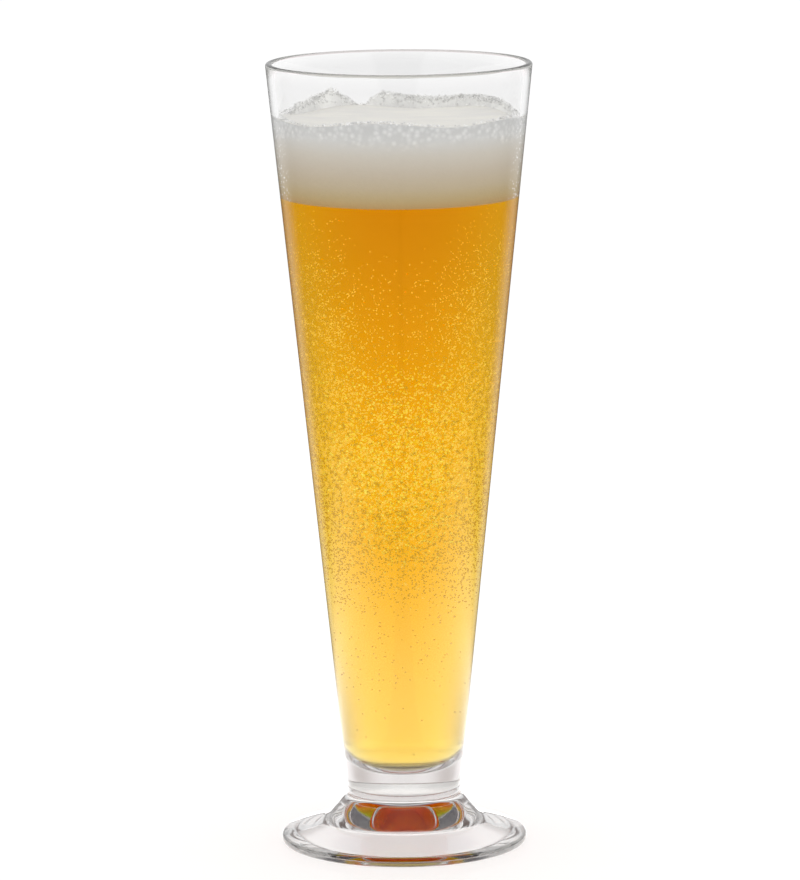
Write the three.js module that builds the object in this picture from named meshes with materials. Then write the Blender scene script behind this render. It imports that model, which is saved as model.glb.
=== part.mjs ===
// A tall footed beer glass, filled, as an assembly of separate closed solids.
// Millimetres, +Z up. The origin is on the table, under the centre of the foot.
import * as THREE from "three";

// Driving dimensions of the glass. Heights are above the table.
const HEIGHT = 235; // top of the rim
const RIM_DIAMETER = 79; // outside
const RIM_WALL = 2; // wall at the rim, which is rounded all over
const FLOOR_WALL = 4.2; // wall beside the inside floor
const FLOOR_THICKNESS = 5.3; // solid glass between the waist and the inside floor
const FLOOR_ROUND = 9.5; // rounding between the inside floor and the wall
const WAIST_HEIGHT = 17.1; // lower face of the bowl
const WAIST_DIAMETER = 34; // outside, at the narrowest place
const WAIST_NECK = 2.5; // upright stretch below the waist, taken up by its rounding
const WAIST_ROUND = 6.8; // rounding between the waist and the flare
const WAFER_THICKNESS = 3.8; // glass button that joins the bowl to the foot
const FOOT_DIAMETER = 73.8; // outside
const FOOT_EDGE = 2.5; // thickness of the foot's rounded edge
const FLARE_DIAMETER = 46.8; // where the flare runs out on the foot
const FLARE_HEIGHT = 7; // top of the foot, where the flare runs out
const FLARE_ROUND = 7; // rounding between the flare and the foot
const REST_DIAMETER = 64; // inside of the flat ring that the glass stands on
const HOLLOW_DIAMETER = 14; // flat top of the hollow under the foot
const HOLLOW_COVER = 3; // glass between the hollow and the wafer
const HOLLOW_ROUND = 10; // rounding of the hollow's top and mouth

// Driving dimensions of what is in the glass.
const CLEARANCE = 0.3; // between the contents and the wall
const HEADSPACE = 15.8; // rim to the middle level of the foam's edge
const FOAM_DEPTH = 23.7; // beer to the middle level of the foam's edge
const FOAM_TILT = 1.2; // how far the foam's edge stands higher at the front, and lower at the back
const FOAM_WAVE = 0.8; // rise and fall of the foam's edge along the wall
const FOAM_WAVES = 5; // waves round the foam's edge
const FOAM_WAVE_TURN = 2.27; // radians by which the waves are turned round the axis
const FOAM_WAVE_POWER = 6; // how fast the waves die out towards the middle
const FOAM_DISH = 1.6; // how far the foam sinks in the middle
const FOAM_DISH_POWER = 4; // how flat the sunken middle is
const LACING_HEIGHT = 4.6; // tallest part of the froth that clings to the wall
const LACING_END = 0.8; // height of that froth at both ends
const LACING_FULLNESS = 0.4; // power that makes its outline flat on top and steep at the ends
const LACING_THICKNESS = 1.4; // that froth, measured from the wall
const LACING_LEFT_ANGLES = [114, 166]; // degrees round the wall, from +X towards +Y
const LACING_RIGHT_ANGLES = [4, 106];

// Facets.
const SEGMENTS = 48;
const ARC_STEP = THREE.MathUtils.degToRad(15);
const LACING_STEP = 7.5; // degrees
const LACING_CORNERS = 4; // of its cross section
const FOAM_RINGS = [0.95, 0.8, 0.5]; // shares of the foam's radius

// Sizes worked out from the driving dimensions.
const rimRadius = RIM_DIAMETER / 2;
const waistRadius = WAIST_DIAMETER / 2;
const footRadius = FOOT_DIAMETER / 2;
const floorHeight = WAIST_HEIGHT + FLOOR_THICKNESS;
const waferBase = WAIST_HEIGHT - WAFER_THICKNESS;
const foamEdge = HEIGHT - HEADSPACE;
const beerTop = foamEdge - FOAM_DEPTH;

const outerTaper = (rimRadius - waistRadius) / (HEIGHT - WAIST_HEIGHT);
const outerAtFloor = waistRadius + outerTaper * FLOOR_THICKNESS;
const innerAtFloor = outerAtFloor - FLOOR_WALL;
const innerTaper = (rimRadius - RIM_WALL - innerAtFloor) / (HEIGHT - floorHeight);
const contentGap = CLEARANCE * Math.hypot(1, innerTaper);

// Radius of the contents at a height, a clearance inside the bowl's wall.
function contentRadius(height) {
  return innerAtFloor + innerTaper * (height - floorHeight) - contentGap;
}

// Outline through corners [radius, height, rounding], each rounding an arc that fits its two sides.
function roundedOutline(corners) {
  const places = corners.map(([radius, height]) => new THREE.Vector2(radius, height));
  const rounding = corners.map((corner) => corner[2] ?? 0);
  const outline = [];
  places.forEach((place, i) => {
    if (rounding[i] === 0) {
      outline.push(place);
      return;
    }
    const back = places[i - 1].clone().sub(place);
    const ahead = places[i + 1].clone().sub(place);
    const room = Math.min(
      back.length() / (rounding[i - 1] > 0 ? 2 : 1),
      ahead.length() / (rounding[i + 1] > 0 ? 2 : 1),
    );
    const halfCorner = back.angleTo(ahead) / 2;
    const tangent = Math.min(rounding[i] / Math.tan(halfCorner), room);
    back.normalize();
    ahead.normalize();
    const start = place.clone().addScaledVector(back, tangent);
    const end = place.clone().addScaledVector(ahead, tangent);
    const toCentre = back.add(ahead).normalize();
    const centre = place.clone().addScaledVector(toCentre, tangent / Math.cos(halfCorner));
    const spoke = start.clone().sub(centre);
    const side = Math.sign(spoke.cross(end.clone().sub(centre)));
    const sweep = side * (Math.PI - 2 * halfCorner);
    const steps = Math.ceil(Math.abs(sweep) / ARC_STEP);
    for (let step = 0; step <= steps; step++) {
      const point = spoke.clone().rotateAround(new THREE.Vector2(), (sweep * step) / steps);
      outline.push(point.add(centre));
    }
  });
  return outline;
}

// An outline that climbs, cut at a height into the stretches below and above it.
function splitAt(outline, height) {
  const next = outline.findIndex((point) => point.y > height);
  const last = outline[next - 1];
  const share = (height - last.y) / (outline[next].y - last.y);
  const cut = last.clone().lerp(outline[next], share);
  return {
    below: [...outline.slice(0, next), cut],
    above: [cut, ...outline.slice(next)],
  };
}

// Solid turned from an outline that runs anticlockwise from the axis back to the axis.
function turned(outline) {
  return new THREE.LatheGeometry(outline, SEGMENTS).rotateX(Math.PI / 2);
}

function onAxis(height) {
  return new THREE.Vector2(0, height);
}

function bowl() {
  return turned(
    roundedOutline([
      [0, WAIST_HEIGHT],
      [waistRadius, WAIST_HEIGHT],
      [rimRadius, HEIGHT, RIM_WALL / 2],
      [rimRadius - RIM_WALL, HEIGHT, RIM_WALL / 2],
      [innerAtFloor, floorHeight, FLOOR_ROUND],
      [0, floorHeight],
    ]),
  );
}

// Foot and wafer share one flank, from the resting ring up to the waist.
const flank = splitAt(
  roundedOutline([
    [REST_DIAMETER / 2, 0],
    [footRadius, 0, FOOT_EDGE / 2],
    [footRadius, FOOT_EDGE, FOOT_EDGE / 2],
    [FLARE_DIAMETER / 2, FLARE_HEIGHT, FLARE_ROUND],
    [waistRadius, WAIST_HEIGHT - WAIST_NECK, WAIST_ROUND],
    [waistRadius, WAIST_HEIGHT],
  ]),
  waferBase,
);

function joiningWafer() {
  return turned([onAxis(waferBase), ...flank.above, onAxis(WAIST_HEIGHT)]);
}

function foot() {
  const hollowTop = waferBase - HOLLOW_COVER;
  const hollow = roundedOutline([
    [0, hollowTop],
    [HOLLOW_DIAMETER / 2, hollowTop, HOLLOW_ROUND],
    [REST_DIAMETER / 2, 0, HOLLOW_ROUND],
    [footRadius, 0],
  ]);
  return turned([...hollow.slice(0, -1), ...flank.below.slice(1), onAxis(waferBase)]);
}

function beer() {
  const floor = floorHeight + CLEARANCE;
  return turned(
    roundedOutline([
      [0, floor],
      [contentRadius(floor), floor, FLOOR_ROUND - CLEARANCE],
      [contentRadius(beerTop), beerTop],
      [0, beerTop],
    ]),
  );
}

// Height of the foam's edge along the wall, at an angle round the axis.
function foamEdgeHeight(angle) {
  const wave = FOAM_WAVE * Math.sin(FOAM_WAVES * angle - FOAM_WAVE_TURN);
  return foamEdge - FOAM_TILT * Math.sin(angle) + wave;
}

// Height of the foam's top at a share of its radius: the edge's waves die out towards the dished middle.
function foamTopHeight(share, angle) {
  const wave = foamEdgeHeight(angle) - foamEdge;
  return foamEdge + wave * share ** FOAM_WAVE_POWER - FOAM_DISH * (1 - share ** FOAM_DISH_POWER);
}

function around(radius, angle, height) {
  return new THREE.Vector3(radius * Math.cos(angle), radius * Math.sin(angle), height);
}

// Closed solid skinned over rings from low to high, with a point on the axis at both ends.
function skinned(lowPoint, rings, highPoint) {
  const count = rings[0].length;
  const top = 1 + rings.length * count;
  const at = (ring, i) => 1 + ring * count + (i % count);
  const faces = [];
  for (let i = 0; i < count; i++) {
    faces.push(0, at(0, i + 1), at(0, i));
    for (let ring = 1; ring < rings.length; ring++) {
      faces.push(at(ring - 1, i), at(ring - 1, i + 1), at(ring, i + 1));
      faces.push(at(ring - 1, i), at(ring, i + 1), at(ring, i));
    }
    faces.push(at(rings.length - 1, i), at(rings.length - 1, i + 1), top);
  }
  const points = [lowPoint, ...rings.flat(), highPoint];
  const geometry = new THREE.BufferGeometry().setFromPoints(points).setIndex(faces);
  geometry.computeVertexNormals();
  return geometry;
}

function foamHead() {
  const angles = Array.from({ length: SEGMENTS }, (_, i) => (2 * Math.PI * i) / SEGMENTS);
  const base = angles.map((angle) => around(contentRadius(beerTop), angle, beerTop));
  const edge = angles.map((angle) => {
    const height = foamEdgeHeight(angle);
    return around(contentRadius(height), angle, height);
  });
  const top = FOAM_RINGS.map((share) =>
    angles.map((angle) => around(share * contentRadius(foamEdge), angle, foamTopHeight(share, angle))),
  );
  const lowPoint = new THREE.Vector3(0, 0, beerTop);
  const highPoint = new THREE.Vector3(0, 0, foamTopHeight(0, 0));
  return skinned(lowPoint, [base, edge, ...top], highPoint);
}

// Patch of froth on the wall above the foam's edge, between two angles in degrees.
function lacing([from, to]) {
  const steps = Math.ceil((to - from) / LACING_STEP);
  const points = [];
  const faces = [];
  for (let step = 0; step <= steps; step++) {
    const share = step / steps;
    const angle = THREE.MathUtils.degToRad(from + (to - from) * share);
    const low = foamEdgeHeight(angle) + CLEARANCE;
    const fullness = Math.max(0, Math.sin(Math.PI * share)) ** LACING_FULLNESS;
    const high = low + LACING_END + (LACING_HEIGHT - LACING_END) * fullness;
    for (const [height, depth] of [
      [low, LACING_THICKNESS],
      [low, 0],
      [high, 0],
      [high, LACING_THICKNESS],
    ]) {
      points.push(around(contentRadius(height) - depth, angle, height));
    }
    if (step === 0) continue;
    const first = LACING_CORNERS * (step - 1);
    for (let side = 0; side < LACING_CORNERS; side++) {
      const a = first + side;
      const b = first + ((side + 1) % LACING_CORNERS);
      faces.push(a, b + LACING_CORNERS, b, a, a + LACING_CORNERS, b + LACING_CORNERS);
    }
  }
  const last = points.length - LACING_CORNERS;
  faces.push(0, 1, 2, 0, 2, 3);
  faces.push(last, last + 2, last + 1, last, last + 3, last + 2);
  const geometry = new THREE.BufferGeometry().setFromPoints(points).setIndex(faces);
  geometry.computeVertexNormals();
  return geometry;
}

function clearGlass() {
  return new THREE.MeshStandardMaterial({
    color: 0xf1f4f3,
    roughness: 0.04,
    metalness: 0,
    transparent: true,
    opacity: 0.35,
  });
}

function amberBeer() {
  return new THREE.MeshStandardMaterial({
    color: 0xe09a10,
    roughness: 0.05,
    metalness: 0,
    transparent: true,
    opacity: 0.85,
  });
}

function creamFoam() {
  return new THREE.MeshStandardMaterial({ color: 0xd9d5c9, roughness: 0.9, metalness: 0 });
}

const beerGlass = new THREE.Group();
beerGlass.name = "beer_glass";
for (const [name, geometry, material] of [
  ["bowl", bowl(), clearGlass()],
  ["joining_wafer", joiningWafer(), clearGlass()],
  ["foot", foot(), clearGlass()],
  ["beer", beer(), amberBeer()],
  ["foam_head", foamHead(), creamFoam()],
  ["lacing_left", lacing(LACING_LEFT_ANGLES), creamFoam()],
  ["lacing_right", lacing(LACING_RIGHT_ANGLES), creamFoam()],
]) {
  const mesh = new THREE.Mesh(geometry, material);
  mesh.name = name;
  beerGlass.add(mesh);
}

export default beerGlass;
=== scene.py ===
"""Looks of a filled, footed beer glass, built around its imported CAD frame.

Metres, +Z up, with the origin on the table under the centre of the foot. The glass is three turned
pieces, the drink is a clear amber body with gas bubbles in it, and the froth is a head of foam with
beads and lacing on the wall above it.
"""

from __future__ import annotations

import logging
import math
import random
from dataclasses import dataclass
from enum import Enum
from itertools import pairwise
from typing import Callable, Iterable, Sequence

import bpy
import numpy as np
from mathutils import Euler, Matrix, Vector, noise

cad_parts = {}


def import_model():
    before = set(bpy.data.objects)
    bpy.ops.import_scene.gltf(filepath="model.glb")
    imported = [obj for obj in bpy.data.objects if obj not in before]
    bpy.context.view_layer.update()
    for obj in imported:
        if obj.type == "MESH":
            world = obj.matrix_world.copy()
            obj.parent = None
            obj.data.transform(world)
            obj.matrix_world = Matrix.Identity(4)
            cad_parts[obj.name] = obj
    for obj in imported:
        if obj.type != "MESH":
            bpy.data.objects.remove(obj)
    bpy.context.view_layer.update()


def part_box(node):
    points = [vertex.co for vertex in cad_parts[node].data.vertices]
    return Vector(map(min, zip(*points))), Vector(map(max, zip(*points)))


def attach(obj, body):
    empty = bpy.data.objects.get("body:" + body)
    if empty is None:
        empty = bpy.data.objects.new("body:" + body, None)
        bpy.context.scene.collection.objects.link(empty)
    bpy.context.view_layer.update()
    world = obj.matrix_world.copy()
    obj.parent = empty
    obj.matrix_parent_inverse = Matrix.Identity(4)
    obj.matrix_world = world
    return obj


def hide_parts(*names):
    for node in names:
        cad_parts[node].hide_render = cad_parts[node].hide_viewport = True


LOG = logging.getLogger("beer_glass")

MM = 0.001
BODY = "root"

# Indices of refraction, and the attribute that gives each face of the glass its own
GLASS_INDEX = 1.52
BEER_INDEX = 1.34
AIR_INDEX = 1.0
BEND = "index_of_refraction"

# Fineness of the meshes: parts of a full turn, longest straight edge, and turn of each part of a rounding
SPIN_STEPS = 128
LONGEST_EDGE = 4 * MM
ROUNDING_STEP = math.radians(7)

# Most of an edge that its roundings take up, and the angle from which an edge stays sharp
ROUNDING_ROOM = 0.999
SHARP_FROM = math.radians(35)

# How close a vertex is to the corner that it belongs to, and to another that it is merged with
AT_CORNER = 1e-5
MERGE = 5e-6

# Height of a bead as a share of its width
BEAD_HEIGHT = 0.94

# Upright share of a normal from which its face counts as level, or as facing up
LEVEL = 0.99
FACING_UP = 0.5

# Short names of types: a range is its start and end, and a place is the centre and radius of a bead
Piece = bpy.types.Object
Face = bpy.types.MeshPolygon
Node = bpy.types.Node
Socket = bpy.types.NodeSocket
Range = tuple[float, float]
Colour = tuple[float, float, float]
Stops = Sequence[tuple[float, Colour]]
Place = tuple[Vector, float]

WHITE: Colour = (1.0, 1.0, 1.0)
FADE: Range = (1.0, 0.0)


class GlassFace(Enum):
    """What a face of the glass touches. The value is the index of refraction between the two."""

    DRY = GLASS_INDEX / AIR_INDEX
    WET = GLASS_INDEX / BEER_INDEX
    FUSED = GLASS_INDEX / GLASS_INDEX


class BubbleKind(Enum):
    """How a bubble looks: clear gas, a bead near the wall with a painted glow, or one deep in the beer with
    a painted glow.
    """

    CLEAR = "clear"
    PALE = "pale"
    DEEP = "deep"


class Slot(str, Enum):
    """Material slots of the record."""

    GLASS = "clear_glass"
    BEER = "beer"
    FOAM = "foam"


@dataclass(frozen=True)
class Corner:
    """Corner of a half outline.

    Attributes:
        radius: Distance from the axis.
        height: Height above the table.
        rounding: Radius of its rounding, 0 where it is sharp.
    """

    radius: float
    height: float
    rounding: float = 0.0

    def place(self) -> Vector:
        """Gives the corner's place in the plane of the outline."""
        return Vector((self.radius, self.height))


# Places round the axis


def on_circle(reach: float, angle: float, height: float) -> Vector:
    """Gives a place by its distance from the axis, its angle from +X towards +Y and its height."""
    return Vector((reach * math.cos(angle), reach * math.sin(angle), height))


def hold_in(place: Vector, widest: float) -> None:
    """Brings a place nearer to the axis where it is too far out.

    Args:
        place: The place, which is changed.
        widest: Greatest distance from the axis.
    """
    reach = place.xy.length
    if reach > widest:
        place.xy *= widest / reach


# Modelling by hand


def deselect() -> None:
    """Leaves every object deselected, in object mode."""
    if bpy.context.mode != "OBJECT":
        close_edit()
    bpy.ops.object.select_all(action="DESELECT")


def pick(piece: Piece) -> None:
    """Selects one piece alone and makes it the active one.

    Args:
        piece: The piece.
    """
    deselect()
    piece.select_set(True)
    bpy.context.view_layer.objects.active = piece


def open_edit() -> None:
    """Opens the active piece in edit mode."""
    bpy.ops.object.mode_set(mode="EDIT")


def close_edit() -> None:
    """Goes back to object mode."""
    bpy.ops.object.mode_set(mode="OBJECT")


def edit_all(piece: Piece) -> None:
    """Opens one piece in edit mode, with all of its mesh selected.

    Args:
        piece: The piece.
    """
    pick(piece)
    open_edit()
    bpy.ops.mesh.select_all(action="SELECT")


def close_outwards() -> None:
    """Turns the faces of the edited piece outwards and goes back to object mode."""
    bpy.ops.mesh.select_all(action="SELECT")
    bpy.ops.mesh.normals_make_consistent(inside=False)
    close_edit()


def start_outline(name: str, place: Vector) -> Piece:
    """Makes a piece that is a single point, ready to be extruded.

    Args:
        name: The piece's name.
        place: Where the point is.

    Returns:
        The new piece, in edit mode.
    """
    deselect()
    bpy.ops.mesh.primitive_plane_add(size=MM, location=place)
    piece = bpy.context.active_object
    piece.name = name
    piece.data.name = name
    bpy.ops.object.transform_apply(location=True, rotation=True, scale=True)
    edit_all(piece)
    bpy.ops.mesh.merge(type="CENTER")
    return piece


def extrude(step: tuple[float, float, float]) -> None:
    """Extrudes what is selected by a step."""
    bpy.ops.mesh.extrude_region_move(TRANSFORM_OT_translate={"value": step})


def spin_all(steps: int, angle: float) -> None:
    """Spins the whole edited outline round the upright axis.

    Args:
        steps: Parts of the way round.
        angle: The whole turn.
    """
    bpy.ops.mesh.select_all(action="SELECT")
    bpy.ops.mesh.spin(steps=steps, angle=angle, center=(0, 0, 0), axis=(0, 0, 1))


def select_vertices(piece: Piece, wanted: Callable[[Vector], bool]) -> None:
    """Selects the vertices of an edited piece by their place.

    Args:
        piece: The piece that is in edit mode.
        wanted: Says of a place whether its vertex is selected.
    """
    bpy.ops.mesh.select_mode(type="VERT")
    bpy.ops.mesh.select_all(action="DESELECT")
    close_edit()
    for vertex in piece.data.vertices:
        vertex.select = wanted(vertex.co)
    open_edit()


def round_corner(piece: Piece, corner: Corner, before: Corner, after: Corner) -> None:
    """Bevels one corner of a half outline to its rounding.

    Two rounded corners have half of the edge between them each.

    Args:
        piece: The piece that is in edit mode.
        corner: The corner to round.
        before: The corner before it.
        after: The corner after it.
    """
    place = corner.place()
    back = before.place() - place
    ahead = after.place() - place
    half_corner = back.angle(ahead) / 2
    tangent = corner.rounding / math.tan(half_corner)
    room = min(
        back.length / (2 if before.rounding else 1),
        ahead.length / (2 if after.rounding else 1),
    )
    turn_angle = math.pi - 2 * half_corner
    select_vertices(piece, lambda co: math.hypot(co.x - place.x, co.z - place.y) < AT_CORNER)
    bpy.ops.mesh.bevel(
        offset=min(tangent, room * ROUNDING_ROOM),
        offset_type="OFFSET",
        segments=max(2, round(turn_angle / ROUNDING_STEP)),
        profile=0.5,
        affect="VERTICES",
    )


def divide_long_edges(piece: Piece) -> None:
    """Subdivides the long straight stretches of a half outline.

    Args:
        piece: The piece that is in edit mode.
    """
    close_edit()
    vertices = piece.data.vertices
    long_edges: dict[int, set[frozenset[int]]] = {}
    for edge in piece.data.edges:
        start, end = edge.vertices
        length = (vertices[start].co - vertices[end].co).length
        cuts = math.ceil(length / LONGEST_EDGE) - 1
        if cuts > 0:
            long_edges.setdefault(cuts, set()).add(frozenset((start, end)))
    for cuts in sorted(long_edges):
        open_edit()
        bpy.ops.mesh.select_mode(type="EDGE")
        bpy.ops.mesh.select_all(action="DESELECT")
        close_edit()
        for edge in piece.data.edges:
            edge.select = frozenset(edge.vertices) in long_edges[cuts]
        open_edit()
        bpy.ops.mesh.subdivide(number_cuts=cuts)
        close_edit()
    open_edit()


def turn(name: str, corners: Sequence[Corner]) -> Piece:
    """Turns a closed piece from its half outline, as on a lathe.

    Args:
        name: The piece's name.
        corners: The outline's corners, from the axis back to the axis.

    Returns:
        The new piece, with its place in its mesh.
    """
    piece = start_outline(name, Vector((corners[0].radius, 0, corners[0].height)))
    for here, there in pairwise(corners):
        extrude((there.radius - here.radius, 0, there.height - here.height))
    for i, corner in enumerate(corners):
        if corner.rounding:
            round_corner(piece, corner, corners[i - 1], corners[i + 1])
    divide_long_edges(piece)
    bpy.ops.mesh.select_mode(type="VERT")
    spin_all(SPIN_STEPS, math.tau)
    bpy.ops.mesh.select_all(action="SELECT")
    bpy.ops.mesh.remove_doubles(threshold=MERGE)
    close_outwards()
    return piece


def keep_side(piece: Piece, height: float, above: bool) -> None:
    """Cuts a piece level at a height and keeps one side, closed by a flat face.

    Args:
        piece: The piece to cut.
        height: Height of the cut.
        above: True keeps what is above the cut, False what is below.
    """
    edit_all(piece)
    bpy.ops.mesh.bisect(
        plane_co=(0, 0, height),
        plane_no=(0, 0, 1),
        use_fill=True,
        clear_inner=above,
        clear_outer=not above,
    )
    close_outwards()


def smooth(piece: Piece) -> None:
    """Shades a piece smooth, with the edges that turn far left sharp.

    Args:
        piece: The piece to shade.
    """
    pick(piece)
    bpy.ops.object.shade_smooth_by_angle(angle=SHARP_FROM)


def mark_faces(piece: Piece, kind: Callable[[Face], GlassFace]) -> None:
    """Notes on each face of a piece of glass how it bends light.

    Args:
        piece: The piece of glass.
        kind: Says of a face what it touches.
    """
    values = [kind(face).value for face in piece.data.polygons]
    piece.data.attributes.new(BEND, "FLOAT", "FACE").data.foreach_set("value", values)


def model_bead() -> bpy.types.Mesh:
    """Models the one bead that all bubbles are copied from, a few dozen faces on a unit radius.

    Returns:
        The bead's mesh.
    """
    deselect()
    bpy.ops.mesh.primitive_ico_sphere_add(subdivisions=1, radius=1, location=(0, 0, 0))
    bead = bpy.context.active_object
    edit_all(bead)
    bpy.ops.transform.resize(value=(1, 1, BEAD_HEIGHT), center_override=(0, 0, 0))
    close_outwards()
    mesh = bead.data
    bpy.data.objects.remove(bead)
    return mesh


def scatter(name: str, bead: bpy.types.Mesh, places: Sequence[Place]) -> Piece:
    """Copies one bead to many places, as one piece.

    Args:
        name: The piece's name.
        bead: The bead's mesh, on a unit radius.
        places: Centre and radius of each copy.

    Returns:
        The new piece.
    """
    shape = np.array([vertex.co for vertex in bead.vertices])
    faces = [tuple(face.vertices) for face in bead.polygons]
    points = np.concatenate([shape * radius + np.array(centre) for centre, radius in places])
    count = len(shape)
    copies = [tuple(i + copy * count for i in face) for copy in range(len(places)) for face in faces]
    mesh = bpy.data.meshes.new(name)
    mesh.from_pydata(points.tolist(), [], copies)
    mesh.polygons.foreach_set("use_smooth", [True] * len(mesh.polygons))
    mesh.update()
    piece = bpy.data.objects.new(name, mesh)
    bpy.context.scene.collection.objects.link(piece)
    return piece


# Finishes


class Graph:
    """Short names for building a node tree."""

    def __init__(self, tree: bpy.types.NodeTree) -> None:
        """Takes the node tree of a material or of the world."""
        self.tree = tree

    def feed(self, target: Socket, value: Socket | float | Colour) -> None:
        """Gives an input a number, a colour or the output of another node.

        Args:
            target: The input.
            value: What it gets.
        """
        if isinstance(value, Socket):
            self.tree.links.new(value, target)
        elif isinstance(value, tuple) and len(target.default_value) == 4:
            target.default_value = (*value, 1)
        else:
            target.default_value = value

    def fill(self, node: Node, **values: Socket | float | str | Colour) -> None:
        """Sets a node's own properties and feeds its inputs.

        Args:
            node: The node.
            values: Properties by their names, and inputs by theirs with underscores for spaces.
        """
        for key, value in values.items():
            if hasattr(node, key):
                setattr(node, key, value)
            else:
                self.feed(node.inputs[key.replace("_", " ")], value)

    def node(self, kind: str, **values: Socket | float | str | Colour) -> Node:
        """Adds a node.

        Args:
            kind: The node's type, without its common start.
            values: What fill takes.

        Returns:
            The new node.
        """
        made = self.tree.nodes.new("ShaderNode" + kind)
        self.fill(made, **values)
        return made

    def output(self, **values: Socket) -> None:
        """Feeds the material's output."""
        self.fill(self.tree.nodes["Material Output"], **values)

    def place(self) -> tuple[Socket, Node]:
        """Gives the place on the object, whole and as the node that splits it into its parts."""
        place = self.node("TexCoord").outputs["Object"]
        return place, self.node("SeparateXYZ", Vector=place)

    def clouds(self, place: Socket, **values: float) -> Socket:
        """Gives a cloudy pattern between 0 and 1."""
        return self.node("TexNoise", Vector=place, **values).outputs["Fac"]

    def cells(self, place: Socket, scale: float) -> Socket:
        """Gives the distance to the middle of the nearest cell, in a pattern like froth."""
        return self.node("TexVoronoi", Vector=place, Scale=scale).outputs["Distance"]

    def bump(self, height: Socket, **values: float) -> Socket:
        """Gives the normal of a surface with a pattern's heights on it."""
        return self.node("Bump", Height=height, **values).outputs["Normal"]

    def span(self, value: Socket, over: Range, to: Range = (0.0, 1.0)) -> Socket:
        """Maps a value smoothly from one range to another and holds it at the ends.

        Args:
            value: The value.
            over: Start and end of its range.
            to: Results at the start and at the end.

        Returns:
            The result's socket.
        """
        made = self.node(
            "MapRange",
            interpolation_type="SMOOTHSTEP",
            Value=value,
            From_Min=over[0],
            From_Max=over[1],
            To_Min=to[0],
            To_Max=to[1],
        )
        return made.outputs["Result"]

    def math(self, operation: str, first: Socket | float, second: Socket | float = 0.0) -> Socket:
        """Adds a sum, product or the like of two values.

        Args:
            operation: Name of the operation.
            first: First value, a socket or a number.
            second: Second value, likewise.

        Returns:
            The result's socket.
        """
        made = self.node("Math", operation=operation)
        self.feed(made.inputs[0], first)
        self.feed(made.inputs[1], second)
        return made.outputs["Value"]

    def product(self, first: Socket, *others: Socket | float) -> Socket:
        """Multiplies a number by others.

        Args:
            first: The number's socket.
            others: The others, each a socket or a number.

        Returns:
            The product's socket.
        """
        made = first
        for other in others:
            made = self.math("MULTIPLY", made, other)
        return made

    def length_aside(self, split: Node) -> Socket:
        """Gives the distance from the upright axis.

        Args:
            split: The node that has split a place into its three parts.

        Returns:
            The distance's socket.
        """
        flat = self.node("CombineXYZ", X=split.outputs["X"], Y=split.outputs["Y"])
        return self.node("VectorMath", operation="LENGTH", Vector=flat.outputs["Vector"]).outputs["Value"]

    def sideways(self, split: Node) -> Socket:
        """Gives how far a place is to the left or right, as a share of its distance from the axis.

        Args:
            split: The node that has split the place into its three parts.

        Returns:
            The share's socket.
        """
        aside = self.math("ABSOLUTE", split.outputs["X"])
        return self.math("DIVIDE", aside, self.length_aside(split))

    def ramp(self, value: Socket, stops: Stops) -> Socket:
        """Turns a value into a colour.

        Args:
            value: The value.
            stops: Places along the value and their colours.

        Returns:
            The colour's socket.
        """
        made = self.node("ValToRGB", Fac=value)
        elements = made.color_ramp.elements
        while len(elements) < len(stops):
            elements.new(0.5)
        for element, (position, colour) in zip(elements, stops):
            element.position = position
            element.color = (*colour, 1)
        return made.outputs["Color"]

    def mix(
        self, share: Socket | float, first: Socket | Colour, second: Socket | Colour, blend: str = "MIX"
    ) -> Socket:
        """Mixes two colours.

        Args:
            share: Share of the second colour, a socket or a number.
            first: First colour, a socket or a value.
            second: Second colour, a socket or a value.
            blend: How they mix.

        Returns:
            The mixed colour's socket.
        """
        made = self.node("Mix", data_type="RGBA", blend_type=blend)
        # The node lists its sockets for numbers and vectors before those for colours
        for place, value in ((0, share), (6, first), (7, second)):
            self.feed(made.inputs[place], value)
        return made.outputs[2]


def plain_grey(level: float) -> Colour:
    """Gives an even grey."""
    return (level, level, level)


def new_material(name: str) -> tuple[bpy.types.Material, Graph, Node]:
    """Makes a node material.

    Args:
        name: The material's name.

    Returns:
        The material, its graph and its Principled BSDF.
    """
    material = bpy.data.materials.new(name)
    material.use_nodes = True
    return material, Graph(material.node_tree), material.node_tree.nodes["Principled BSDF"]


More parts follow.
